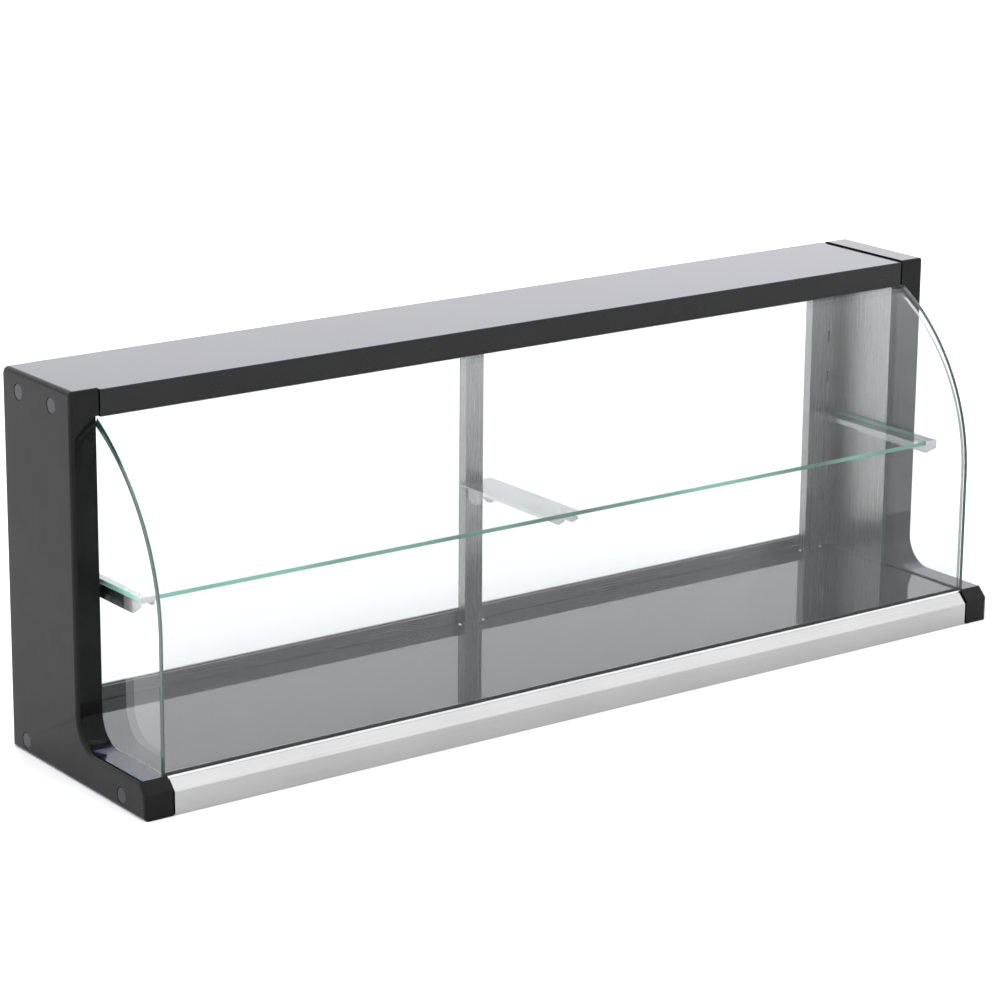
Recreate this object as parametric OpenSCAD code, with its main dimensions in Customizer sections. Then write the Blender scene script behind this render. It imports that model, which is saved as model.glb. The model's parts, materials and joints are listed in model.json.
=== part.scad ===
// Countertop bakery display case: two black end caps joined by a header and a base,
// a curved front glass, one glass shelf on brackets and two sliding rear doors.
// X runs along the case, Y from front to back, Z up; the origin is the middle of the footprint.

/* [Case] */
// Overall length along X
case_w = 1200; // [900:10:1500]
// Overall depth along Y
case_d = 285; // [280:1:300]
// Overall height
case_h = 431; // [425:1:450]
// Depth of the upright column behind the curved glass
column_d = 147; // [140:1:150]
// Thickness of one end cap
cap_t = 34.4; // [30:0.1:40]
// Height of the foot in front of the column
foot_h = 41; // [38:0.5:43]
// Radius of the blend between foot and column
blend_r = 35; // [20:1:45]
// Height of the upright face of the foot and sill, below the chamfer
sill_face_h = 29.2; // [26:0.1:31]

/* [Glass] */
// Thickness of the front and side glass
glass_t = 5; // [4:0.5:5]
// Outer radius of the bent front glass
bend_r = 246; // [240:1:250]
// Height at which the bend starts
bend_z = 187; // [183:1:191]
// Thickness of the shelf glass
shelf_t = 5; // [4:0.5:6]
// Height of the shelf's top face
shelf_z = 220.5; // [200:0.5:240]
// Depth of the shelf
shelf_d = 184.5; // [170:0.5:184.5]
// Thickness of a rear door
door_t = 4; // [3:0.5:4]
// Overlap of the two rear doors behind the centre post
door_overlap = 15; // [10:1:20]

/* [Metalwork] */
// Thickness of the folded steel sheet
sheet_t = 1.5; // [1:0.1:1.6]
// Height of the deck above the counter
deck_z = 39; // [36:0.5:39]
// Height of the header band over the opening
header_h = 28.3; // [24:0.1:32]
// Drop of the roof below the top of the end caps
roof_drop = 1.7; // [1:0.1:3]
// Gap between an end cap and the header, roof or sill
joint_gap = 2; // [1:0.1:3]
// Height of the front wall of the rear door track above the deck
track_h = 16; // [14:0.5:20]
// Depth of the rear door tracks
track_d = 23; // [22:0.5:24]
// Width of a rear post
post_w = 25; // [20:1:30]
// Depth of a rear post
post_d = 12; // [10:0.5:14]

/* [Shelf brackets] */
// Width of an end bracket
end_bracket_w = 18; // [14:1:19]
// Width of the centre bracket
mid_bracket_w = 48; // [30:1:60]
// Depth of the deep flange of an end bracket
deep_flange_h = 14; // [10:1:18]
// Depth of the shallow flange of an end bracket
shallow_flange_h = 5; // [4:0.5:8]
// Depth of the flanges of the centre bracket
mid_flange_h = 9; // [7:1:12]
// Distance between neighbouring slots of a slotted standard
slot_pitch = 52; // [45:1:60]

/* [Fasteners] */
// Diameter of the plug caps on the end caps
plug_d = 17.8; // [14:0.1:18]
// Shank diameter of the cap screws
screw_d = 6; // [5:0.5:6]

/* [Hidden] */

black_paint = "#242528";
stainless = "#b9bbbd";
bright_metal = "#dcdde0";
rubber_black = "#151515";
glass_tint = [0.62, 0.82, 0.78, 0.35];
end_grain = 64;
blend_steps = 16;

// Main planes
front_y = -case_d / 2;
back_y = case_d / 2;
column_y = back_y - column_d;
cap_outer = case_w / 2;
cap_inner = cap_outer - cap_t;
trim_end = cap_inner - joint_gap;
roof_z = case_h - roof_drop;
header_z = roof_z - header_h;
fit_gap = 0.3;

// Foot and sill chamfer, rising at 45 degrees
chamfer = foot_h - sill_face_h;
cap_chamfer_y = front_y + chamfer;
sill_top_y = cap_chamfer_y - 0.1;
cap_front_r = 3;
cap_back_r = 9;

// Front glass: outer and inner faces, bend centre and bottom edge
glass_y = sill_top_y + 1.3;
glass_in_y = glass_y + glass_t;
bend_y = glass_y + bend_r;
glass_top_y = column_y - 0.5;
lip_z = 40.2;
channel_t = 1;
channel_z = 30;
channel_back_y = -116.1;
gasket_t = 2;
glass_z = channel_z + channel_t + gasket_t + 0.1;
gasket_z = deck_z + 2.4;

// Rebate in each cap for the side glass and the ends of the front glass
side_glass_x = cap_inner + 3.4;
rebate_x = side_glass_x + fit_gap;
side_glass_back_y = 11.5;
side_glass_top_z = header_z - 1;

// Base: pan, deck and tracks
pan_front_y = channel_back_y + 0.1;
track_y = back_y - track_d;
track_wall_z = deck_z + track_h;
track_top_z = track_wall_z - 5;
rear_header_z = header_z - 15;

// Rails between the caps, where the cap screws enter
rail_w = 16;
rail_h = 11;
upper_rail_z = case_h - 22.7;
lower_rail_z = 15;
upper_front_y = 35.9;
upper_rear_y = 106.5;
lower_front_y = -94.2;
lower_rear_y = 110;
screw_points = [[upper_front_y, upper_rail_z], [upper_rear_y, upper_rail_z],
    [lower_front_y, lower_rail_z], [lower_rear_y, lower_rail_z]];

// Screw and plug seats, measured inwards from the outer face of a cap
plug_seat_depth = 2.2;
plug_recess = 0.3;
head_seat_depth = 8;
head_d = 11.6;
head_h = 4;
screw_reach = 16;
bore_clearance = 0.3;

// Rear door panes run in two grooves, the left pane behind the right one
groove_w = door_t + 1;
outer_groove_y = track_y + 14;
inner_groove_y = track_y + 4;
lower_groove_depth = 8;
upper_groove_depth = 16;
door_z = track_top_z - lower_groove_depth + fit_gap;
door_top_z = rear_header_z + upper_groove_depth - 8;
pull_w = 15;
pull_proud = 1.2;
pull_end = cap_inner - 0.6;
pull_z = track_wall_z + 2.5;
pull_top_z = rear_header_z - 2.5;

// Rear posts and slotted standards stand on the deck in front of the tracks
post_y = track_y - post_d;
inner_panel_t = 1.2;
inner_panel_x = cap_inner - inner_panel_t;
end_post_x = 521;
standard_x = end_post_x + post_w + 0.2;
slot_w = 3;
slot_h = 14;
slot_column_x = 558;
slot_level_z = shelf_z - shelf_t - sheet_t - 5;
slot_rows = [-2, -1, 0, 1, 2];

// Shelf and brackets
shelf_back_y = post_y - 1;
shelf_front_y = shelf_back_y - shelf_d;
shelf_bottom_z = shelf_z - shelf_t;
shelf_end = cap_inner - 2.6;
bracket_top_z = shelf_bottom_z;
bracket_outer = inner_panel_x - 0.5;
bracket_inner = bracket_outer - end_bracket_w;
bracket_back_y = post_y - 0.2;
hook_reach = 3.5;
mid_flange_x = 10.5;
mid_hook_h = 9;

// A 2D profile in Y and Z, drawn along X
module along_x(x0, x1) {
    translate([x0, 0, 0])
        rotate([90, 0, 90])
            linear_extrude(x1 - x0) children();
}

// A box between two opposite corners
module box(low, high) {
    translate(low) cube(high - low);
}

module on_both_sides() {
    children();
    mirror([1, 0, 0]) children();
}

module on_left() {
    mirror([1, 0, 0]) children();
}

// The waste outside a rounded convex corner; inward points from the corner into the shape
module corner_waste(corner, inward, r) {
    translate(corner)
        difference() {
            translate([inward[0] > 0 ? -1 : -r, inward[1] > 0 ? -1 : -r]) square(r + 1);
            translate(inward * r) circle(r = r, $fn = end_grain);
        }
}

// Outline of a folded sheet: the path is one face, and t is its thickness to the left of the path
function unit(v) = v / norm(v);
function left_of(a, b) = [a[1] - b[1], b[0] - a[0]] / norm(b - a);
function fold_offset(p, i, t) =
    i == 0 ? left_of(p[0], p[1]) * t
    : i == len(p) - 1 ? left_of(p[i - 1], p[i]) * t
    : let (n = left_of(p[i - 1], p[i]), m = left_of(p[i], p[i + 1])) (n + m) * t / (1 + n * m);
function sheet_outline(p, t) =
    concat(p, [for (i = [len(p) - 1:-1:0]) p[i] + fold_offset(p, i, t)]);

module folded_sheet(path, t) {
    polygon(sheet_outline(path, t));
}

// Side view of an end cap: upright column, low foot and the blend between them
module cap_profile() {
    blend = [for (i = [0:blend_steps]) let (a = 90 * i / blend_steps)
        [column_y - blend_r + blend_r * sin(a), foot_h + blend_r - blend_r * cos(a)]];
    difference() {
        polygon(concat(
            [[column_y + column_d, 0], [front_y, 0], [front_y, sill_face_h], [cap_chamfer_y, foot_h]],
            blend,
            [[column_y, case_h], [column_y + column_d, case_h]]));
        corner_waste([column_y, case_h], [1, -1], cap_front_r);
        corner_waste([back_y, case_h], [-1, -1], cap_back_r);
    }
}

module end_cap() {
    color(black_paint)
        difference() {
            along_x(cap_inner, cap_outer) cap_profile();
            box([cap_inner - 1, cap_chamfer_y, glass_z - 1],
                [rebate_x, side_glass_back_y + fit_gap, side_glass_top_z + 1]);
            for (p = screw_points) screw_seat(p);
        }
}

// Stepped bore through a cap: plug seat, head seat and shank hole
module screw_seat(p) {
    translate([0, p[0], p[1]]) rotate([0, 90, 0]) {
        translate([0, 0, cap_inner - 1])
            cylinder(h = cap_t + 2, d = screw_d + 2 * bore_clearance, $fn = end_grain);
        translate([0, 0, cap_outer - head_seat_depth])
            cylinder(h = head_seat_depth + 1, d = head_d + 2 * bore_clearance, $fn = end_grain);
        translate([0, 0, cap_outer - plug_seat_depth])
            cylinder(h = plug_seat_depth + 1, d = plug_d + 2 * bore_clearance, $fn = end_grain);
    }
}

module plug_cap(p) {
    plug_face = cap_outer - plug_recess;
    plug_seat = cap_outer - plug_seat_depth;
    spigot_h = 1.4;
    translate([0, p[0], p[1]]) rotate([0, 90, 0]) {
        translate([0, 0, plug_seat]) cylinder(h = plug_face - plug_seat, d = plug_d, $fn = end_grain);
        translate([0, 0, plug_seat - spigot_h]) cylinder(h = spigot_h, d = head_d, $fn = end_grain);
    }
}

module plug_caps() {
    color(black_paint) for (p = screw_points) plug_cap(p);
}

// Socket screw from the cap's head seat into the end of a rail
module cap_screw(p) {
    head_x = cap_outer - head_seat_depth;
    tip_x = cap_inner - screw_reach;
    socket_depth = 2.4;
    translate([0, p[0], p[1]]) rotate([0, 90, 0])
        difference() {
            union() {
                translate([0, 0, head_x]) cylinder(h = head_h, d = head_d, $fn = end_grain);
                translate([0, 0, tip_x]) cylinder(h = head_x - tip_x + 1, d = screw_d, $fn = end_grain);
            }
            translate([0, 0, head_x + head_h - socket_depth])
                cylinder(h = socket_depth + 1, d = 5, $fn = 6);
        }
}

module cap_screws() {
    color(stainless) for (p = screw_points) cap_screw(p);
}

// Solid bar between the caps, with a blind hole for a cap screw in each end
module rail(y, z) {
    hole_depth = screw_reach + 3;
    color(black_paint)
        difference() {
            box([-cap_inner, y - rail_w / 2, z - rail_h / 2], [cap_inner, y + rail_w / 2, z + rail_h / 2]);
            on_both_sides()
                translate([cap_inner - hole_depth, y, z]) rotate([0, 90, 0])
                    cylinder(h = hole_depth + 1, d = screw_d + 0.1, $fn = end_grain);
        }
}

// Base tray: floor, low front wall under the deck and full back wall
module base_pan() {
    color(black_paint)
        along_x(-cap_inner, cap_inner)
            folded_sheet([[pan_front_y, deck_z - sheet_t], [pan_front_y, 0], [back_y, 0],
                [back_y, deck_z]], sheet_t);
}

module deck_panel() {
    color(black_paint)
        box([-cap_inner, pan_front_y, deck_z - sheet_t], [cap_inner, back_y - sheet_t, deck_z]);
}

// Stainless front profile, folded round under the glass channel
module front_sill() {
    sill_back_y = pan_front_y - 0.2;
    lower_by = 3;
    color(stainless)
        along_x(-trim_end, trim_end)
            folded_sheet([[sill_back_y, 0], [front_y, 0], [front_y, sill_face_h - lower_by],
                [sill_top_y, foot_h - lower_by], [sill_top_y, channel_z],
                [sill_back_y, channel_z]], -sheet_t);
}

// Upright channel that holds the lower edge of the front glass
module front_glass_channel() {
    wall_y = glass_y - channel_t - 0.1;
    color(bright_metal)
        along_x(-cap_inner, cap_inner)
            folded_sheet([[wall_y, lip_z], [wall_y, channel_z], [channel_back_y, channel_z],
                [channel_back_y, deck_z]], channel_t);
}

module front_glass_gasket() {
    floor_z = channel_z + channel_t;
    back_of_gasket = channel_back_y - channel_t - 0.1;
    color(rubber_black)
        along_x(-cap_inner + 2, cap_inner - 2)
            polygon([[glass_y, floor_z], [back_of_gasket, floor_z], [back_of_gasket, deck_z + 0.2],
                [glass_in_y + 2.1, gasket_z], [glass_in_y + 0.1, gasket_z],
                [glass_in_y + 0.1, floor_z + gasket_t], [glass_y, floor_z + gasket_t]]);
}

// Bent front pane: flat below the bend, one arc above it, trimmed upright at the header
module front_glass() {
    arc_reach = glass_top_y - glass_y;
    color(glass_tint)
        along_x(-side_glass_x, side_glass_x) {
            translate([glass_y, glass_z]) square([glass_t, bend_z - glass_z]);
            intersection() {
                difference() {
                    translate([bend_y, bend_z]) circle(r = bend_r, $fn = 180);
                    translate([bend_y, bend_z]) circle(r = bend_r - glass_t, $fn = 180);
                }
                translate([glass_y - 1, bend_z]) square([arc_reach + 1, bend_r]);
            }
        }
}

module front_glass_top_seal() {
    seal_h = 1.5;
    seal_d = 8;
    color(rubber_black)
        box([-trim_end, column_y, header_z - seal_h], [trim_end, column_y + seal_d, header_z]);
}

// Flat side pane whose front edge runs inside the front glass, with a gap that grows upwards
module side_glass() {
    edge_gap = 0.4;
    side_r = bend_r - glass_t - 10;
    side_bend_y = glass_in_y + edge_gap + side_r;
    color(glass_tint)
        along_x(side_glass_x - glass_t, side_glass_x)
            intersection() {
                translate([glass_in_y + edge_gap, deck_z + 0.2])
                    square([side_glass_back_y - glass_in_y - edge_gap, side_glass_top_z - deck_z - 0.2]);
                union() {
                    translate([side_bend_y, bend_z]) circle(r = side_r, $fn = 180);
                    translate([glass_y, 0]) square([case_d / 2, bend_z]);
                }
            }
}

// Front fascia with flanges turned back under the roof and under the soffit
module front_header() {
    flange_d = 20.5;
    color(black_paint)
        along_x(-trim_end, trim_end)
            folded_sheet([[column_y + flange_d, header_z], [column_y, header_z],
                [column_y, roof_z - sheet_t], [column_y + flange_d, roof_z - sheet_t]], -sheet_t);
}

module soffit_panel() {
    color(black_paint)
        box([-cap_inner, column_y + 20.7, header_z], [cap_inner, track_y, header_z + sheet_t]);
}

module roof_panel() {
    color(black_paint)
        along_x(-trim_end, trim_end)
            difference() {
                translate([column_y, roof_z - sheet_t]) square([column_d, sheet_t]);
                corner_waste([back_y, roof_z], [-1, -1], 1);
            }
}

// Rear beam with the two upper door grooves in its underside
module rear_header() {
    color(black_paint)
        along_x(-cap_inner, cap_inner)
            difference() {
                translate([track_y, rear_header_z])
                    square([track_d, roof_z - sheet_t - rear_header_z]);
                for (y = [inner_groove_y, outer_groove_y])
                    translate([y, rear_header_z - 1]) square([groove_w, upper_groove_depth + 1]);
            }
}

// Rear sill with the two lower door grooves, behind a taller front wall
module rear_track() {
    color(stainless)
        along_x(-cap_inner, cap_inner)
            difference() {
                union() {
                    translate([track_y, deck_z]) square([track_d, track_top_z - deck_z]);
                    translate([track_y, deck_z]) square([sheet_t, track_h]);
                }
                for (y = [inner_groove_y, outer_groove_y])
                    translate([y, track_top_z - lower_groove_depth])
                        square([groove_w, lower_groove_depth + 1]);
            }
}

// Stainless lining on the inside of each column
module inner_panel() {
    color(stainless)
        box([inner_panel_x, side_glass_back_y + 0.5, deck_z],
            [cap_inner, track_y, header_z]);
}

// Open-backed post, standing on the deck and reaching the soffit
module post(x0) {
    color(stainless)
        difference() {
            box([x0, post_y, deck_z], [x0 + post_w, track_y, header_z]);
            box([x0 + sheet_t, post_y + sheet_t, deck_z - 1],
                [x0 + post_w - sheet_t, track_y + 1, header_z + 1]);
        }
}

// The centre post has two slots that take the hooks of the centre bracket
module centre_post() {
    hook_z = bracket_top_z - sheet_t - mid_hook_h;
    color(stainless)
        difference() {
            post(-post_w / 2);
            on_both_sides()
                box([mid_flange_x - sheet_t - 0.4, post_y - 1, hook_z - 0.4],
                    [mid_flange_x + 0.4, post_y + sheet_t + 1, hook_z + mid_hook_h - 0.6]);
        }
}

// Flat strip beside each end post, with a row of slots for the end brackets
module slotted_standard() {
    color(stainless)
        difference() {
            box([standard_x, track_y - sheet_t, deck_z], [inner_panel_x, track_y, header_z]);
            for (row = slot_rows)
                box([slot_column_x, track_y - sheet_t - 1, slot_level_z + row * slot_pitch - slot_h / 2],
                    [slot_column_x + slot_w, track_y + 1, slot_level_z + row * slot_pitch + slot_h / 2]);
        }
}

// Round-headed screws that hold the feet of the posts to the deck
module post_base_screws() {
    head_r = 3;
    head_rise = 2;
    color(bright_metal)
        for (x = [-end_post_x - post_w - 4, -end_post_x + 4, -post_w / 2 - 4, post_w / 2 + 4,
                end_post_x - 4, end_post_x + post_w + 4])
            translate([x, post_y + 4.5, deck_z])
                cylinder(h = head_rise, r1 = head_r, r2 = head_r - 1, $fn = end_grain);
}

// Side view of a bracket flange: straight bottom edge and a sloping nose
module flange_profile(nose_y, back, depth, slope) {
    top_z = bracket_top_z - sheet_t + 0.5;
    bottom_z = bracket_top_z - sheet_t - depth;
    polygon([[nose_y, top_z], [nose_y, bottom_z + min(depth - 1, slope * 0.6)],
        [nose_y + slope, bottom_z], [back, bottom_z], [back, top_z]]);
}

// Channel bracket with an upturned lip that stops the shelf sliding forwards
module end_bracket() {
    lip_t = 1.5;
    nose_y = shelf_front_y - lip_t;
    plate_z = bracket_top_z - sheet_t;
    hook_z = slot_level_z - slot_h / 2 + 1;
    hook_x = slot_column_x + (slot_w - sheet_t) / 2;
    color(bright_metal) {
        box([bracket_inner, nose_y, plate_z], [bracket_outer, bracket_back_y, bracket_top_z]);
        box([bracket_inner, nose_y, plate_z], [bracket_outer, shelf_front_y - 0.1, shelf_z]);
        along_x(bracket_outer - sheet_t, bracket_outer)
            flange_profile(nose_y, bracket_back_y, deep_flange_h, deep_flange_h + 3);
        along_x(bracket_inner, bracket_inner + sheet_t)
            flange_profile(nose_y, bracket_back_y, shallow_flange_h, shallow_flange_h);
        box([hook_x, bracket_back_y - 30, hook_z], [hook_x + sheet_t, track_y + 1, plate_z + 0.5]);
    }
}

// Wide plate on two close flanges, which deepen into rounded ears at the post
module centre_bracket() {
    plate_z = bracket_top_z - sheet_t;
    nose_y = shelf_front_y - 1.5;
    ear_l = 30;
    ear_h = 23.5;
    ear_r = 14;
    hook_z = plate_z - mid_hook_h;
    color(bright_metal) {
        box([-mid_bracket_w / 2, nose_y + 6, plate_z], [mid_bracket_w / 2, bracket_back_y, bracket_top_z]);
        on_both_sides() {
            along_x(mid_flange_x - sheet_t, mid_flange_x) {
                flange_profile(nose_y, bracket_back_y, mid_flange_h, mid_flange_h + 2);
                difference() {
                    translate([bracket_back_y - ear_l, plate_z - ear_h])
                        square([ear_l, ear_h]);
                    corner_waste([bracket_back_y - ear_l, plate_z - ear_h], [1, 1], ear_r);
                    corner_waste([bracket_back_y, plate_z - ear_h], [-1, 1], ear_r);
                }
            }
            box([mid_flange_x - sheet_t, bracket_back_y - 5, hook_z],
                [mid_flange_x, post_y + hook_reach, hook_z + mid_hook_h - 1.2]);
        }
    }
}

module shelf_glass() {
    color(glass_tint)
        box([-shelf_end, shelf_front_y, shelf_bottom_z], [shelf_end, shelf_back_y, shelf_z]);
}

// One sliding pane, from its edge by the cap to the overlap at the middle
module door_pane(groove_y) {
    pane_y = groove_y + (groove_w - door_t) / 2;
    color(glass_tint)
        box([-door_overlap / 2, pane_y, door_z],
            [pull_end - pull_proud, pane_y + door_t, door_top_z]);
}

// Edge pull: a channel clipped over the outer upright edge of a pane
module door_pull(groove_y) {
    pane_y = groove_y + (groove_w - door_t) / 2;
    color(bright_metal)
        difference() {
            box([pull_end - pull_w, pane_y - pull_proud, pull_z],
                [pull_end, pane_y + door_t + pull_proud, pull_top_z]);
            box([pull_end - pull_w - 1, pane_y, pull_z - 1],
                [pull_end - pull_proud, pane_y + door_t, pull_top_z + 1]);
        }
}

// Rubber bumpers on the caps that the closed panes meet
module door_bumpers() {
    bumper_t = 0.5;
    color(rubber_black)
        on_both_sides()
            for (z = [pull_z + 40, pull_top_z - 40])
                translate([cap_inner - bumper_t, track_y + track_d / 2, z]) rotate([0, 90, 0])
                    cylinder(h = bumper_t, d = 10, $fn = end_grain);
}

on_left() end_cap();  // left_end_cap
end_cap();  // right_end_cap
on_left() plug_caps();  // left_plug_caps
plug_caps();  // right_plug_caps
on_left() cap_screws();  // left_cap_screws
cap_screws();  // right_cap_screws
rail(upper_front_y, upper_rail_z);  // upper_front_rail
rail(upper_rear_y, upper_rail_z);  // upper_rear_rail
rail(lower_front_y, lower_rail_z);  // lower_front_rail
rail(lower_rear_y, lower_rail_z);  // lower_rear_rail
base_pan();
deck_panel();
front_sill();
front_glass_channel();
front_glass_gasket();
front_glass();
front_glass_top_seal();
on_left() side_glass();  // left_side_glass
side_glass();  // right_side_glass
front_header();
soffit_panel();
roof_panel();
rear_header();
rear_track();
on_left() inner_panel();  // left_inner_panel
inner_panel();  // right_inner_panel
centre_post();
on_left() post(end_post_x);  // left_rear_post
post(end_post_x);  // right_rear_post
on_left() slotted_standard();  // left_slotted_standard
slotted_standard();  // right_slotted_standard
post_base_screws();
on_left() end_bracket();  // left_shelf_bracket
centre_bracket();  // centre_shelf_bracket
end_bracket();  // right_shelf_bracket
shelf_glass();
on_left() door_pane(outer_groove_y);  // left_door_glass
on_left() door_pull(outer_groove_y);  // left_door_pull
door_pane(inner_groove_y);  // right_door_glass
door_pull(inner_groove_y);  // right_door_pull
door_bumpers();
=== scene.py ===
# Looks for the bakery display case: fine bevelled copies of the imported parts, procedural
# materials, a pale studio floor and a camera. All lengths are in metres, in the CAD frame.
import json
import math

import bmesh
import bpy
from mathutils import Matrix, Vector


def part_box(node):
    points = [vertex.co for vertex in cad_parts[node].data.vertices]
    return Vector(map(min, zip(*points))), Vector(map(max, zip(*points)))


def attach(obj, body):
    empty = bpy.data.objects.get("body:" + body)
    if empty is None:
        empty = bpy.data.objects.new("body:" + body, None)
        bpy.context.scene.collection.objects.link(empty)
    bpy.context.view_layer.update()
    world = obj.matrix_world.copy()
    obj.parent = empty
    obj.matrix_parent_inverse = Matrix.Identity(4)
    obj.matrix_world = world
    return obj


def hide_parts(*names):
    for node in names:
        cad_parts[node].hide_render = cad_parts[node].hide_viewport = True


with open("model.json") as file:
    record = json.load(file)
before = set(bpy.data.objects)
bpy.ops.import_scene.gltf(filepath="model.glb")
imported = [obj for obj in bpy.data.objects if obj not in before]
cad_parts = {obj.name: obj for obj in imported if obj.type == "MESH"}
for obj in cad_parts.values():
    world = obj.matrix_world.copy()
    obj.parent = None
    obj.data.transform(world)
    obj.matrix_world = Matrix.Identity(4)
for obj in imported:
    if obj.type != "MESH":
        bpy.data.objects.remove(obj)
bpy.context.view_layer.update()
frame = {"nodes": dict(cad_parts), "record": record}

# ---------------------------------------------------------------- node helpers

BUMP_DEPTH = 0.0002
MOTTLE_SCALE = 9.0
SMEAR_SCALE = 30.0
PEEL_SCALE = 700.0
GRAIN_SCALE = 900.0
CLOUD_SCALE = 7.0
CLOUD_SHARE = 0.45
FACING_POWER = 5.0

class Shader:
    """A material under construction: its node tree and a few short ways to add to it."""

    def __init__(self, name):
        self.material = bpy.data.materials.new(name)
        self.material.use_nodes = True
        self.tree = self.material.node_tree
        self.bsdf = self.tree.nodes["Principled BSDF"]
        self.output = self.tree.nodes["Material Output"]

    def add(self, kind, **settings):
        node = self.tree.nodes.new(kind)
        for key, value in settings.items():
            setattr(node, key, value)
        return node

    def link(self, source, target):
        self.tree.links.new(source, target)

    def noise(self, scale, stretch=(1, 1, 1), detail=3.0, roughness=0.55):
        """Object-space noise; stretch shrinks the pattern along an axis."""
        coords = self.add("ShaderNodeTexCoord")
        mapping = self.add("ShaderNodeMapping")
        mapping.inputs["Scale"].default_value = stretch
        self.link(coords.outputs["Object"], mapping.inputs["Vector"])
        node = self.add("ShaderNodeTexNoise")
        node.inputs["Scale"].default_value = scale
        node.inputs["Detail"].default_value = detail
        node.inputs["Roughness"].default_value = roughness
        self.link(mapping.outputs["Vector"], node.inputs["Vector"])
        return node.outputs["Fac"]

    def spread(self, value, low, high, from_low=0.3, from_high=0.7):
        """Maps a noise value to the range low to high."""
        node = self.add("ShaderNodeMapRange")
        node.inputs["From Min"].default_value = from_low
        node.inputs["From Max"].default_value = from_high
        node.inputs["To Min"].default_value = low
        node.inputs["To Max"].default_value = high
        self.link(value, node.inputs["Value"])
        return node.outputs["Result"]

    def tones(self, value, dark, light):
        """Blends two colours by a value."""
        node = self.add("ShaderNodeMix", data_type="RGBA")
        node.inputs["A"].default_value = (*dark, 1)
        node.inputs["B"].default_value = (*light, 1)
        self.link(value, node.inputs["Factor"])
        return node.outputs["Result"]

    def bump(self, value, strength):
        node = self.add("ShaderNodeBump")
        node.inputs["Strength"].default_value = strength
        node.inputs["Distance"].default_value = BUMP_DEPTH
        self.link(value, node.inputs["Height"])
        self.link(node.outputs["Normal"], self.bsdf.inputs["Normal"])


def enamel(name, dark, light, rough_low, rough_high, peel, sheen=0.5):
    """Black paint or moulding: a faint mottle, uneven gloss and orange-peel bump."""
    s = Shader(name)
    s.bsdf.inputs["Specular IOR Level"].default_value = sheen
    mottle = s.noise(MOTTLE_SCALE, detail=4.0)
    s.link(s.tones(s.spread(mottle, 0, 1), dark, light), s.bsdf.inputs["Base Color"])
    smear = s.noise(SMEAR_SCALE, detail=5.0)
    s.link(s.spread(smear, rough_low, rough_high), s.bsdf.inputs["Roughness"])
    s.bump(s.noise(PEEL_SCALE, detail=2.0), peel)
    return s.material


def brushed(name, dark, light, rough_low, rough_high, grain, strength, spread=0.0):
    """Metal with drawn grain; grain is the stretch, small along the brushing direction."""
    s = Shader(name)
    s.bsdf.inputs["Anisotropic"].default_value = spread
    s.bsdf.inputs["Metallic"].default_value = 1.0
    lines = s.noise(GRAIN_SCALE, stretch=grain, detail=4.0, roughness=0.7)
    cloud = s.noise(CLOUD_SCALE, detail=3.0)
    both = s.add("ShaderNodeMix", data_type="FLOAT")
    both.inputs["Factor"].default_value = CLOUD_SHARE
    s.link(s.spread(lines, 0, 1), both.inputs["A"])
    s.link(s.spread(cloud, 0, 1), both.inputs["B"])
    s.link(s.tones(both.outputs["Result"], dark, light), s.bsdf.inputs["Base Color"])
    s.link(s.spread(lines, rough_low, rough_high), s.bsdf.inputs["Roughness"])
    s.bump(lines, strength)
    return s.material


def pane(name, tint, mirror_share=0.04):
    """Clear glass face: see-through, with a mirror share that grows at grazing angles."""
    s = Shader(name)
    s.tree.nodes.remove(s.bsdf)
    clear = s.add("ShaderNodeBsdfTransparent")
    clear.inputs["Color"].default_value = (*tint, 1)
    mirror = s.add("ShaderNodeBsdfGlossy")
    s.link(s.spread(s.noise(12.0), 0.0, 0.02), mirror.inputs["Roughness"])
    grazing = s.add("ShaderNodeLayerWeight")
    grazing.inputs["Blend"].default_value = 0.5
    steep = s.add("ShaderNodeMath", operation="POWER")
    steep.inputs[1].default_value = FACING_POWER
    s.link(grazing.outputs["Facing"], steep.inputs[0])
    blend = s.add("ShaderNodeMixShader")
    s.link(s.spread(steep.outputs["Value"], mirror_share, 1.0, 0.0, 1.0), blend.inputs["Fac"])
    s.link(clear.outputs["BSDF"], blend.inputs[1])
    s.link(mirror.outputs["BSDF"], blend.inputs[2])
    s.link(blend.outputs["Shader"], s.output.inputs["Surface"])
    return s.material


def glass_edge(name, dark, light, scale):
    """Ground and polished edge of green float glass, darker and lighter along its length."""
    s = Shader(name)
    band = s.noise(scale, detail=2.0)
    s.link(s.tones(s.spread(band, 0, 1, 0.4, 0.6), dark, light), s.bsdf.inputs["Base Color"])
    s.link(s.spread(s.noise(220.0), 0.08, 0.2), s.bsdf.inputs["Roughness"])
    s.bsdf.inputs["Coat Weight"].default_value = 0.2
    s.bump(s.noise(500.0), 0.05)
    return s.material


def rubber(name):
    s = Shader(name)
    speckle = s.noise(300.0, detail=3.0)
    s.link(s.tones(speckle, (0.004, 0.004, 0.004), (0.02, 0.02, 0.02)), s.bsdf.inputs["Base Color"])
    s.link(s.spread(speckle, 0.55, 0.8), s.bsdf.inputs["Roughness"])
    s.bump(speckle, 0.2)
    return s.material


# ---------------------------------------------------------------- materials

ALONG_X = (0.004, 1, 1)
ALONG_Y = (1, 0.004, 1)
ALONG_Z = (1, 1, 0.004)

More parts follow.
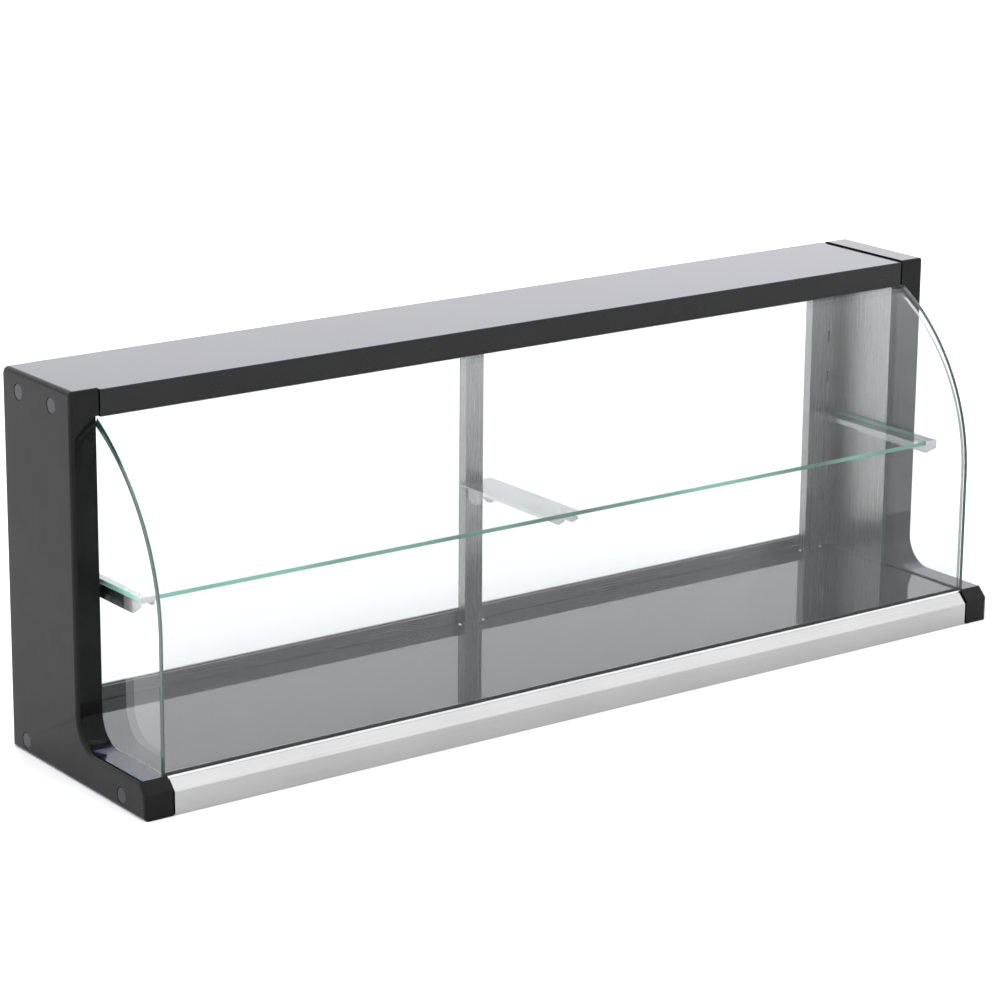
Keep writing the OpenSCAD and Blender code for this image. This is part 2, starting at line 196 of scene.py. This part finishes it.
# Roof and lit-top black: bluish black with a high sheen. On the roof it is the roof's gloss paint.
# On the cap tops it is a lighter copy of the cap black, a painted reflection of the bright dome,
# and its blue tint paints the lavender cast of that reflection.
ROOF_AND_LIT_TOP_BLACK = enamel("roof_and_lit_top_black", (0.006, 0.006, 0.022), (0.009, 0.009, 0.030),
                    0.10, 0.14, 0.02, 0.40)
FASCIA_BLACK = enamel("fascia_black", (0.006, 0.006, 0.006), (0.009, 0.009, 0.009),
                      0.26, 0.32, 0.0, 0.21)
CAP_BLACK = enamel("cap_black", (0.003, 0.003, 0.003), (0.006, 0.006, 0.006),
                   0.07, 0.12, 0.03, 0.12)
SIDE_BLACK = enamel("side_black", (0.006, 0.006, 0.006), (0.010, 0.010, 0.010),
                    0.28, 0.36, 0.10, 0.13)
PLUG_BLACK = enamel("plug_black", (0.012, 0.012, 0.013), (0.020, 0.020, 0.021),
                    0.18, 0.26, 0.05, 0.30)
DECK_BLACK = enamel("deck_black", (0.010, 0.010, 0.012), (0.016, 0.016, 0.018), 0.02, 0.035, 0.0)
INNER_BLACK = enamel("inner_black", (0.012, 0.012, 0.013), (0.022, 0.022, 0.023), 0.35, 0.5, 0.1)
SILL_STEEL = brushed("sill_steel", (0.36, 0.36, 0.35), (0.43, 0.43, 0.42),
                     0.20, 0.27, ALONG_X, 0.03)
LINING_STEEL = brushed("lining_steel", (0.33, 0.33, 0.33), (0.46, 0.46, 0.45),
                       0.24, 0.34, ALONG_Z, 0.04, 0.85)
POST_STEEL = brushed("post_steel", (0.27, 0.27, 0.27), (0.40, 0.40, 0.39),
                     0.22, 0.30, ALONG_Z, 0.05, 0.7)
TRACK_METAL = brushed("track_metal", (0.27, 0.28, 0.27), (0.31, 0.32, 0.31),
                      0.24, 0.28, ALONG_X, 0.0)
BRACKET_STEEL = brushed("bracket_steel", (0.42, 0.42, 0.43), (0.54, 0.54, 0.55),
                        0.14, 0.22, ALONG_Y, 0.06)
CHANNEL_BRIGHT = brushed("channel_bright", (0.62, 0.62, 0.62), (0.74, 0.74, 0.74),
                         0.10, 0.18, ALONG_X, 0.03)
SCREW_METAL = brushed("screw_metal", (0.60, 0.60, 0.60), (0.80, 0.80, 0.80),
                      0.15, 0.25, (1, 1, 1), 0.05)
PULL_METAL = brushed("pull_metal", (0.40, 0.41, 0.42), (0.52, 0.53, 0.54),
                     0.25, 0.35, ALONG_Z, 0.06)
SEAL_BLACK = rubber("seal_black")
CLEAR_PANE = pane("clear_pane", (0.985, 0.995, 0.991))
FRONT_PANE = pane("front_pane", (0.872, 0.877, 0.876))
# A pale, half-mirror copy of the green glass edge: a painted highlight for the right side pane's
# front edge.
PAINTED_EDGE_HIGHLIGHT = pane("painted_edge_highlight", (0.55, 0.60, 0.58), 0.45)
EDGE_GREEN = glass_edge("edge_green", (0.004, 0.034, 0.022), (0.03, 0.10, 0.075), 5.0)
SHELF_EDGE = glass_edge("shelf_edge", (0.03, 0.15, 0.10), (0.22, 0.55, 0.42), 4.0)

# ---------------------------------------------------------------- piece helpers

BODY_OF = {n: body for body, nodes in frame["record"]["behaviour"]["bodies"].items() for n in nodes}
MERGE = 1e-5
FLAT_ANGLE = math.radians(0.5)
SHARP_ANGLE = math.radians(30)
SQUARE_ON = 0.9
SIDEWAYS = 0.5
GLASS_CREASE = 0.0004


def joined_mesh(node):
    """A bmesh of a CAD node with shared corners joined."""
    bm = bmesh.new()
    bm.from_mesh(frame["nodes"][node].data)
    bmesh.ops.remove_doubles(bm, verts=bm.verts, dist=MERGE)
    return bm


def clean_mesh(node):
    """A joined mesh with flat areas made whole."""
    bm = joined_mesh(node)
    bmesh.ops.dissolve_limit(bm, angle_limit=FLAT_ANGLE, verts=bm.verts, edges=bm.edges)
    bmesh.ops.recalc_face_normals(bm, faces=bm.faces)
    return bm


def add_bevel(piece, width, segments, by_weight=False):
    bevel = piece.modifiers.new("edge_rounding", "BEVEL")
    bevel.width = width
    bevel.segments = segments
    bevel.limit_method = "WEIGHT" if by_weight else "ANGLE"
    bevel.angle_limit = SHARP_ANGLE
    bevel.miter_outer = "MITER_ARC"
    shading = piece.modifiers.new("flat_areas_stay_flat", "WEIGHTED_NORMAL")
    shading.weight = 100
    shading.keep_sharp = True


def fine_piece(node, bm, materials, width, segments=2, by_weight=False):
    """Turns a bmesh into the visible piece that stands for a CAD node."""
    for face in bm.faces:
        face.smooth = True
    mesh = bpy.data.meshes.new(node + "_fine")
    bm.to_mesh(mesh)
    bm.free()
    piece = bpy.data.objects.new(node + "_fine", mesh)
    bpy.context.scene.collection.objects.link(piece)
    for material in materials:
        mesh.materials.append(material)
    add_bevel(piece, width, segments, by_weight)
    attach(piece, BODY_OF[node])
    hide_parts(node)
    return piece


def refine(node, material, width, segments=2):
    """A bevelled copy of a CAD node in one material."""
    return fine_piece(node, clean_mesh(node), [material], width, segments)


def refine_glass(node, edge, is_face, clear=CLEAR_PANE):
    """A pane: clear on its broad faces, edge material on every other face."""
    bm = clean_mesh(node)
    for face in bm.faces:
        face.material_index = 0 if is_face(face) else 1
    return fine_piece(node, bm, [clear, edge], GLASS_CREASE)


def flat_pane(axis):
    """Tells the broad faces of a flat pane whose thickness runs along that axis."""
    return lambda face: abs(face.normal[axis]) > SQUARE_ON


# ---------------------------------------------------------------- end caps

RIM_RADIUS = 0.005
RIM_STEPS = 6
CAP_CREASE = 0.001
TOP_CORNER = 0.003


def boundary_loops(faces):
    """Corner loops round a set of faces, the longest loop first."""
    inside = set(faces)
    border = [e for f in faces for e in f.edges if sum(g in inside for g in e.link_faces) == 1]
    near = {}
    for edge in border:
        for vert in edge.verts:
            near.setdefault(vert, []).append(edge.other_vert(vert))
    loops = []
    while near:
        ring = [next(iter(near))]
        while ring[-1] in near:
            sides = near.pop(ring[-1])
            ahead = [v for v in sides if v in near]
            if not ahead:
                break
            ring.append(ahead[0])
        loops.append(ring)
    return sorted(loops, key=loop_length, reverse=True)


def loop_length(ring):
    return sum((a.co - b.co).length for a, b in zip(ring, ring[1:] + ring[:1]))


def inset_point(before, here, after, depth, corner):
    """Where a rim corner goes when the outline is drawn in by a depth, in the y-z plane."""
    if here.y < corner.y + TOP_CORNER + MERGE and here.z > corner.z - TOP_CORNER - MERGE:
        centre = corner + Vector((0, TOP_CORNER, -TOP_CORNER))
        out = (here - centre).yz.normalized() * max(TOP_CORNER - abs(depth), 0)
        past = max(abs(depth) - TOP_CORNER, 0)
        return centre.y + out.x + past, centre.z + out.y - past
    along = [(here - before).yz.normalized(), (after - here).yz.normalized()]
    normals = [Vector((-a.y, a.x)) for a in along]
    turn = (normals[0] + normals[1]) / (1 + normals[0].dot(normals[1]))
    return here.y + turn.x * depth, here.z + turn.y * depth


def round_rim(bm, outer_x, corner):
    """Replaces the outer face of a cap by a rounded rim and a flat panel with its seats."""
    panel = [f for f in bm.faces if all(abs(v.co.x - outer_x) < MERGE for v in f.verts)]
    outline = boundary_loops(panel)[0]
    points = [v.co.copy() for v in outline]
    area = sum(a.y * b.z - b.y * a.z for a, b in zip(points, points[1:] + points[:1]))
    inward = 1 if area > 0 else -1
    bmesh.ops.delete(bm, geom=panel, context="FACES_KEEP_BOUNDARY")
    side = 1 if outer_x > 0 else -1
    for vert in outline:
        vert.co.x = outer_x - side * RIM_RADIUS
    count = len(points)
    last = outline
    for step in range(1, RIM_STEPS + 1):
        angle = math.pi / 2 * step / RIM_STEPS
        depth = RIM_RADIUS * (1 - math.cos(angle)) * inward
        x = outer_x - side * RIM_RADIUS * (1 - math.sin(angle))
        ring = []
        for k in range(count):
            before, here, after = points[k - 1], points[k], points[(k + 1) % count]
            ring.append(bm.verts.new((x, *inset_point(before, here, after, depth, corner))))
        for k in range(count):
            m = (k + 1) % count
            strip = bm.faces.new((last[k], last[m], ring[m], ring[k]))
            strip.material_index = 1 if step > RIM_STEPS / 2 else 0
        last = ring
    bmesh.ops.delete(bm, geom=[e for e in bm.edges if e.is_wire], context="EDGES")
    bmesh.ops.remove_doubles(bm, verts=bm.verts, dist=MERGE)
    gap = [e for e in bm.edges if e.is_boundary]
    filled = bmesh.ops.triangle_fill(bm, use_beauty=True, edges=gap)
    for face in filled["geom"]:
        if isinstance(face, bmesh.types.BMFace):
            face.material_index = 1
    inner = [v for v in bm.verts if abs(v.co.x - outer_x) > MERGE]
    inner_edges = [e for e in bm.edges if any(abs(v.co.x - outer_x) > MERGE for v in e.verts)]
    bmesh.ops.dissolve_limit(bm, angle_limit=FLAT_ANGLE, verts=inner, edges=inner_edges,
                             delimit={"MATERIAL"})
    bmesh.ops.recalc_face_normals(bm, faces=bm.faces)


def build_end_cap(side):
    """A satin outer panel with a rounded rim, on a glossy body with lightly broken creases; its
    upward faces carry a painted reflection.
    """
    node = side + "_end_cap"
    low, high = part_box(node)
    outer_x = low.x if side == "left" else high.x
    column_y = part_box("front_header")[0].y
    bm = joined_mesh(node)
    bmesh.ops.recalc_face_normals(bm, faces=bm.faces)
    for face in bm.faces:
        # Upward faces of the cap take the roof's glossier, bluish black: a painted reflection that
        # makes the tops lighter than the rest of the one moulding.
        face.material_index = 2 if face.normal.z > SQUARE_ON else 0
    round_rim(bm, outer_x, Vector((0, column_y, high.z)))
    weight = bm.edges.layers.float.new("bevel_weight_edge")
    body_end = abs(outer_x) - RIM_RADIUS + MERGE
    for edge in bm.edges:
        if edge.is_manifold and edge.calc_face_angle(0) > SHARP_ANGLE:
            if all(abs(v.co.x) < body_end for v in edge.verts):
                edge[weight] = 1.0
            else:
                edge.smooth = False
    fine_piece(node, bm, [CAP_BLACK, SIDE_BLACK, ROOF_AND_LIT_TOP_BLACK], CAP_CREASE, by_weight=True)
    refine(side + "_plug_caps", PLUG_BLACK, 0.0008, 3)
    refine(side + "_cap_screws", SCREW_METAL, 0.0003)


for cap_side in ("left", "right"):
    build_end_cap(cap_side)

# ---------------------------------------------------------------- frame, roof and base

PLAIN_PIECES = [
    ("upper_front_rail", INNER_BLACK, 0.0005),
    ("upper_rear_rail", INNER_BLACK, 0.0005),
    ("lower_front_rail", INNER_BLACK, 0.0005),
    ("lower_rear_rail", INNER_BLACK, 0.0005),
    ("base_pan", INNER_BLACK, 0.0005),
    ("deck_panel", DECK_BLACK, 0.0003),
    ("front_sill", SILL_STEEL, 0.0005),
    ("front_glass_channel", CHANNEL_BRIGHT, 0.0002),
    ("front_glass_gasket", SEAL_BLACK, 0.0004),
    ("front_glass_top_seal", SEAL_BLACK, 0.0003),
    ("front_header", FASCIA_BLACK, 0.0004),
    ("soffit_panel", FASCIA_BLACK, 0.0003),
    ("roof_panel", ROOF_AND_LIT_TOP_BLACK, 0.0004),
    ("rear_header", FASCIA_BLACK, 0.0006),
    ("rear_track", TRACK_METAL, 0.0005),
    ("left_inner_panel", LINING_STEEL, 0.0003),
    ("right_inner_panel", LINING_STEEL, 0.0003),
    ("centre_post", POST_STEEL, 0.0003),
    ("left_rear_post", POST_STEEL, 0.0003),
    ("right_rear_post", POST_STEEL, 0.0003),
    ("left_slotted_standard", POST_STEEL, 0.0003),
    ("right_slotted_standard", POST_STEEL, 0.0003),
    ("post_base_screws", SCREW_METAL, 0.0004),
    ("left_shelf_bracket", BRACKET_STEEL, 0.0003),
    ("centre_shelf_bracket", BRACKET_STEEL, 0.0003),
    ("right_shelf_bracket", BRACKET_STEEL, 0.0003),
    ("door_bumpers", SEAL_BLACK, 0.0001),
    ("left_door_pull", PULL_METAL, 0.0003),
    ("right_door_pull", PULL_METAL, 0.0003),
]
for piece_node, piece_material, crease in PLAIN_PIECES:
    refine(piece_node, piece_material, crease)

# ---------------------------------------------------------------- glass


def front_pane_face(face):
    """Only the two upright ends of the bent pane show green; the rest is clear."""
    return abs(face.normal.x) < SIDEWAYS


def side_pane_face(face):
    """The broad faces and the seated foot of a side pane are clear, its front and rear green."""
    return abs(face.normal.x) > SQUARE_ON or face.normal.z < -SIDEWAYS


def right_pane_face(face):
    """As the left side pane, with the front edge clear too: it then gets a pale copy of the glass
    edge, a painted highlight.
    """
    return abs(face.normal.x) > SQUARE_ON or face.normal.y < SIDEWAYS


def shelf_face(face):
    """The shelf's rear edge is clear, its front and end edges are green."""
    return abs(face.normal.z) > SQUARE_ON or face.normal.y > SIDEWAYS


refine_glass("front_glass", EDGE_GREEN, front_pane_face, FRONT_PANE)
refine_glass("left_side_glass", EDGE_GREEN, side_pane_face)
right_glass = refine_glass("right_side_glass", EDGE_GREEN, right_pane_face)
right_glass.data.materials.append(PAINTED_EDGE_HIGHLIGHT)
# The right pane's front and top edges take the pale copy of the edge, a painted highlight, where
# the same edge on the left pane stays green.
for polygon in right_glass.data.polygons:
    x, y, z = polygon.normal
    if abs(x) < SIDEWAYS and y < SIDEWAYS and z > -SIDEWAYS:
        polygon.material_index = 2
refine_glass("shelf_glass", SHELF_EDGE, shelf_face)
refine_glass("left_door_glass", EDGE_GREEN, flat_pane(1))
refine_glass("right_door_glass", EDGE_GREEN, flat_pane(1))

# ---------------------------------------------------------------- stage, light and camera

FLOOR_SIZE = 60.0
DOME_BRIGHTEST = Vector((0.1, 0.3, 0.95)).normalized()
DOME_REACH = (-0.6, 1.0)
DOME_STRENGTH = (1.1, 2.25)
DOME_COLOUR = (0.975, 0.975, 1.0, 1)
CAMERA_PLACE = (-2.2833, -3.0340, 1.3045)
CAMERA_HEADING = -35.933
CAMERA_TILT = 74.673
CAMERA_ROLL = 0.373
CAMERA_LENS = 123.58
CAMERA_SHIFT = (0.03, -0.04)


def build_floor():
    mesh = bpy.data.meshes.new("studio_floor")
    half = FLOOR_SIZE / 2
    corners = [(-half, -half, 0), (half, -half, 0), (half, half, 0), (-half, half, 0)]
    mesh.from_pydata(corners, [], [(0, 1, 2, 3)])
    floor = bpy.data.objects.new("studio_floor", mesh)
    bpy.context.scene.collection.objects.link(floor)
    s = Shader("studio_paper")
    paper = s.tones(s.noise(2.0), (0.86, 0.86, 0.86), (0.88, 0.88, 0.88))
    s.link(paper, s.bsdf.inputs["Base Color"])
    s.bsdf.inputs["Roughness"].default_value = 0.9
    s.bsdf.inputs["Specular IOR Level"].default_value = 0.1
    mesh.materials.append(s.material)


def build_world():
    """A soft white dome, brightest overhead and a little to the rear, dimmer low down."""
    world = bpy.data.worlds.new("studio_dome")
    bpy.context.scene.world = world
    world.use_nodes = True
    tree = world.node_tree
    background = tree.nodes["Background"]
    coords = tree.nodes.new("ShaderNodeTexCoord")
    aim = tree.nodes.new("ShaderNodeVectorMath")
    aim.operation = "DOT_PRODUCT"
    aim.inputs[1].default_value = DOME_BRIGHTEST
    level = tree.nodes.new("ShaderNodeMapRange")
    level.inputs["From Min"].default_value, level.inputs["From Max"].default_value = DOME_REACH
    level.inputs["To Min"].default_value, level.inputs["To Max"].default_value = DOME_STRENGTH
    tree.links.new(coords.outputs["Generated"], aim.inputs[0])
    tree.links.new(aim.outputs["Value"], level.inputs["Value"])
    tree.links.new(level.outputs["Result"], background.inputs["Strength"])
    background.inputs["Color"].default_value = DOME_COLOUR


def build_camera():
    camera = bpy.data.objects.new("photo_camera", bpy.data.cameras.new("photo_camera"))
    bpy.context.scene.collection.objects.link(camera)
    camera.data.lens = CAMERA_LENS
    camera.data.shift_x, camera.data.shift_y = CAMERA_SHIFT
    camera.data.clip_end = 100
    camera.location = CAMERA_PLACE
    heading, tilt, roll = (math.radians(a) for a in (CAMERA_HEADING, CAMERA_TILT, CAMERA_ROLL))
    turn = (Matrix.Rotation(heading, 3, "Z") @ Matrix.Rotation(tilt, 3, "X")
            @ Matrix.Rotation(roll, 3, "Z"))
    camera.rotation_mode = "QUATERNION"
    camera.rotation_quaternion = turn.to_quaternion()
    bpy.context.scene.camera = camera


build_floor()
build_world()
build_camera()
bpy.context.scene.view_settings.view_transform = "Standard"
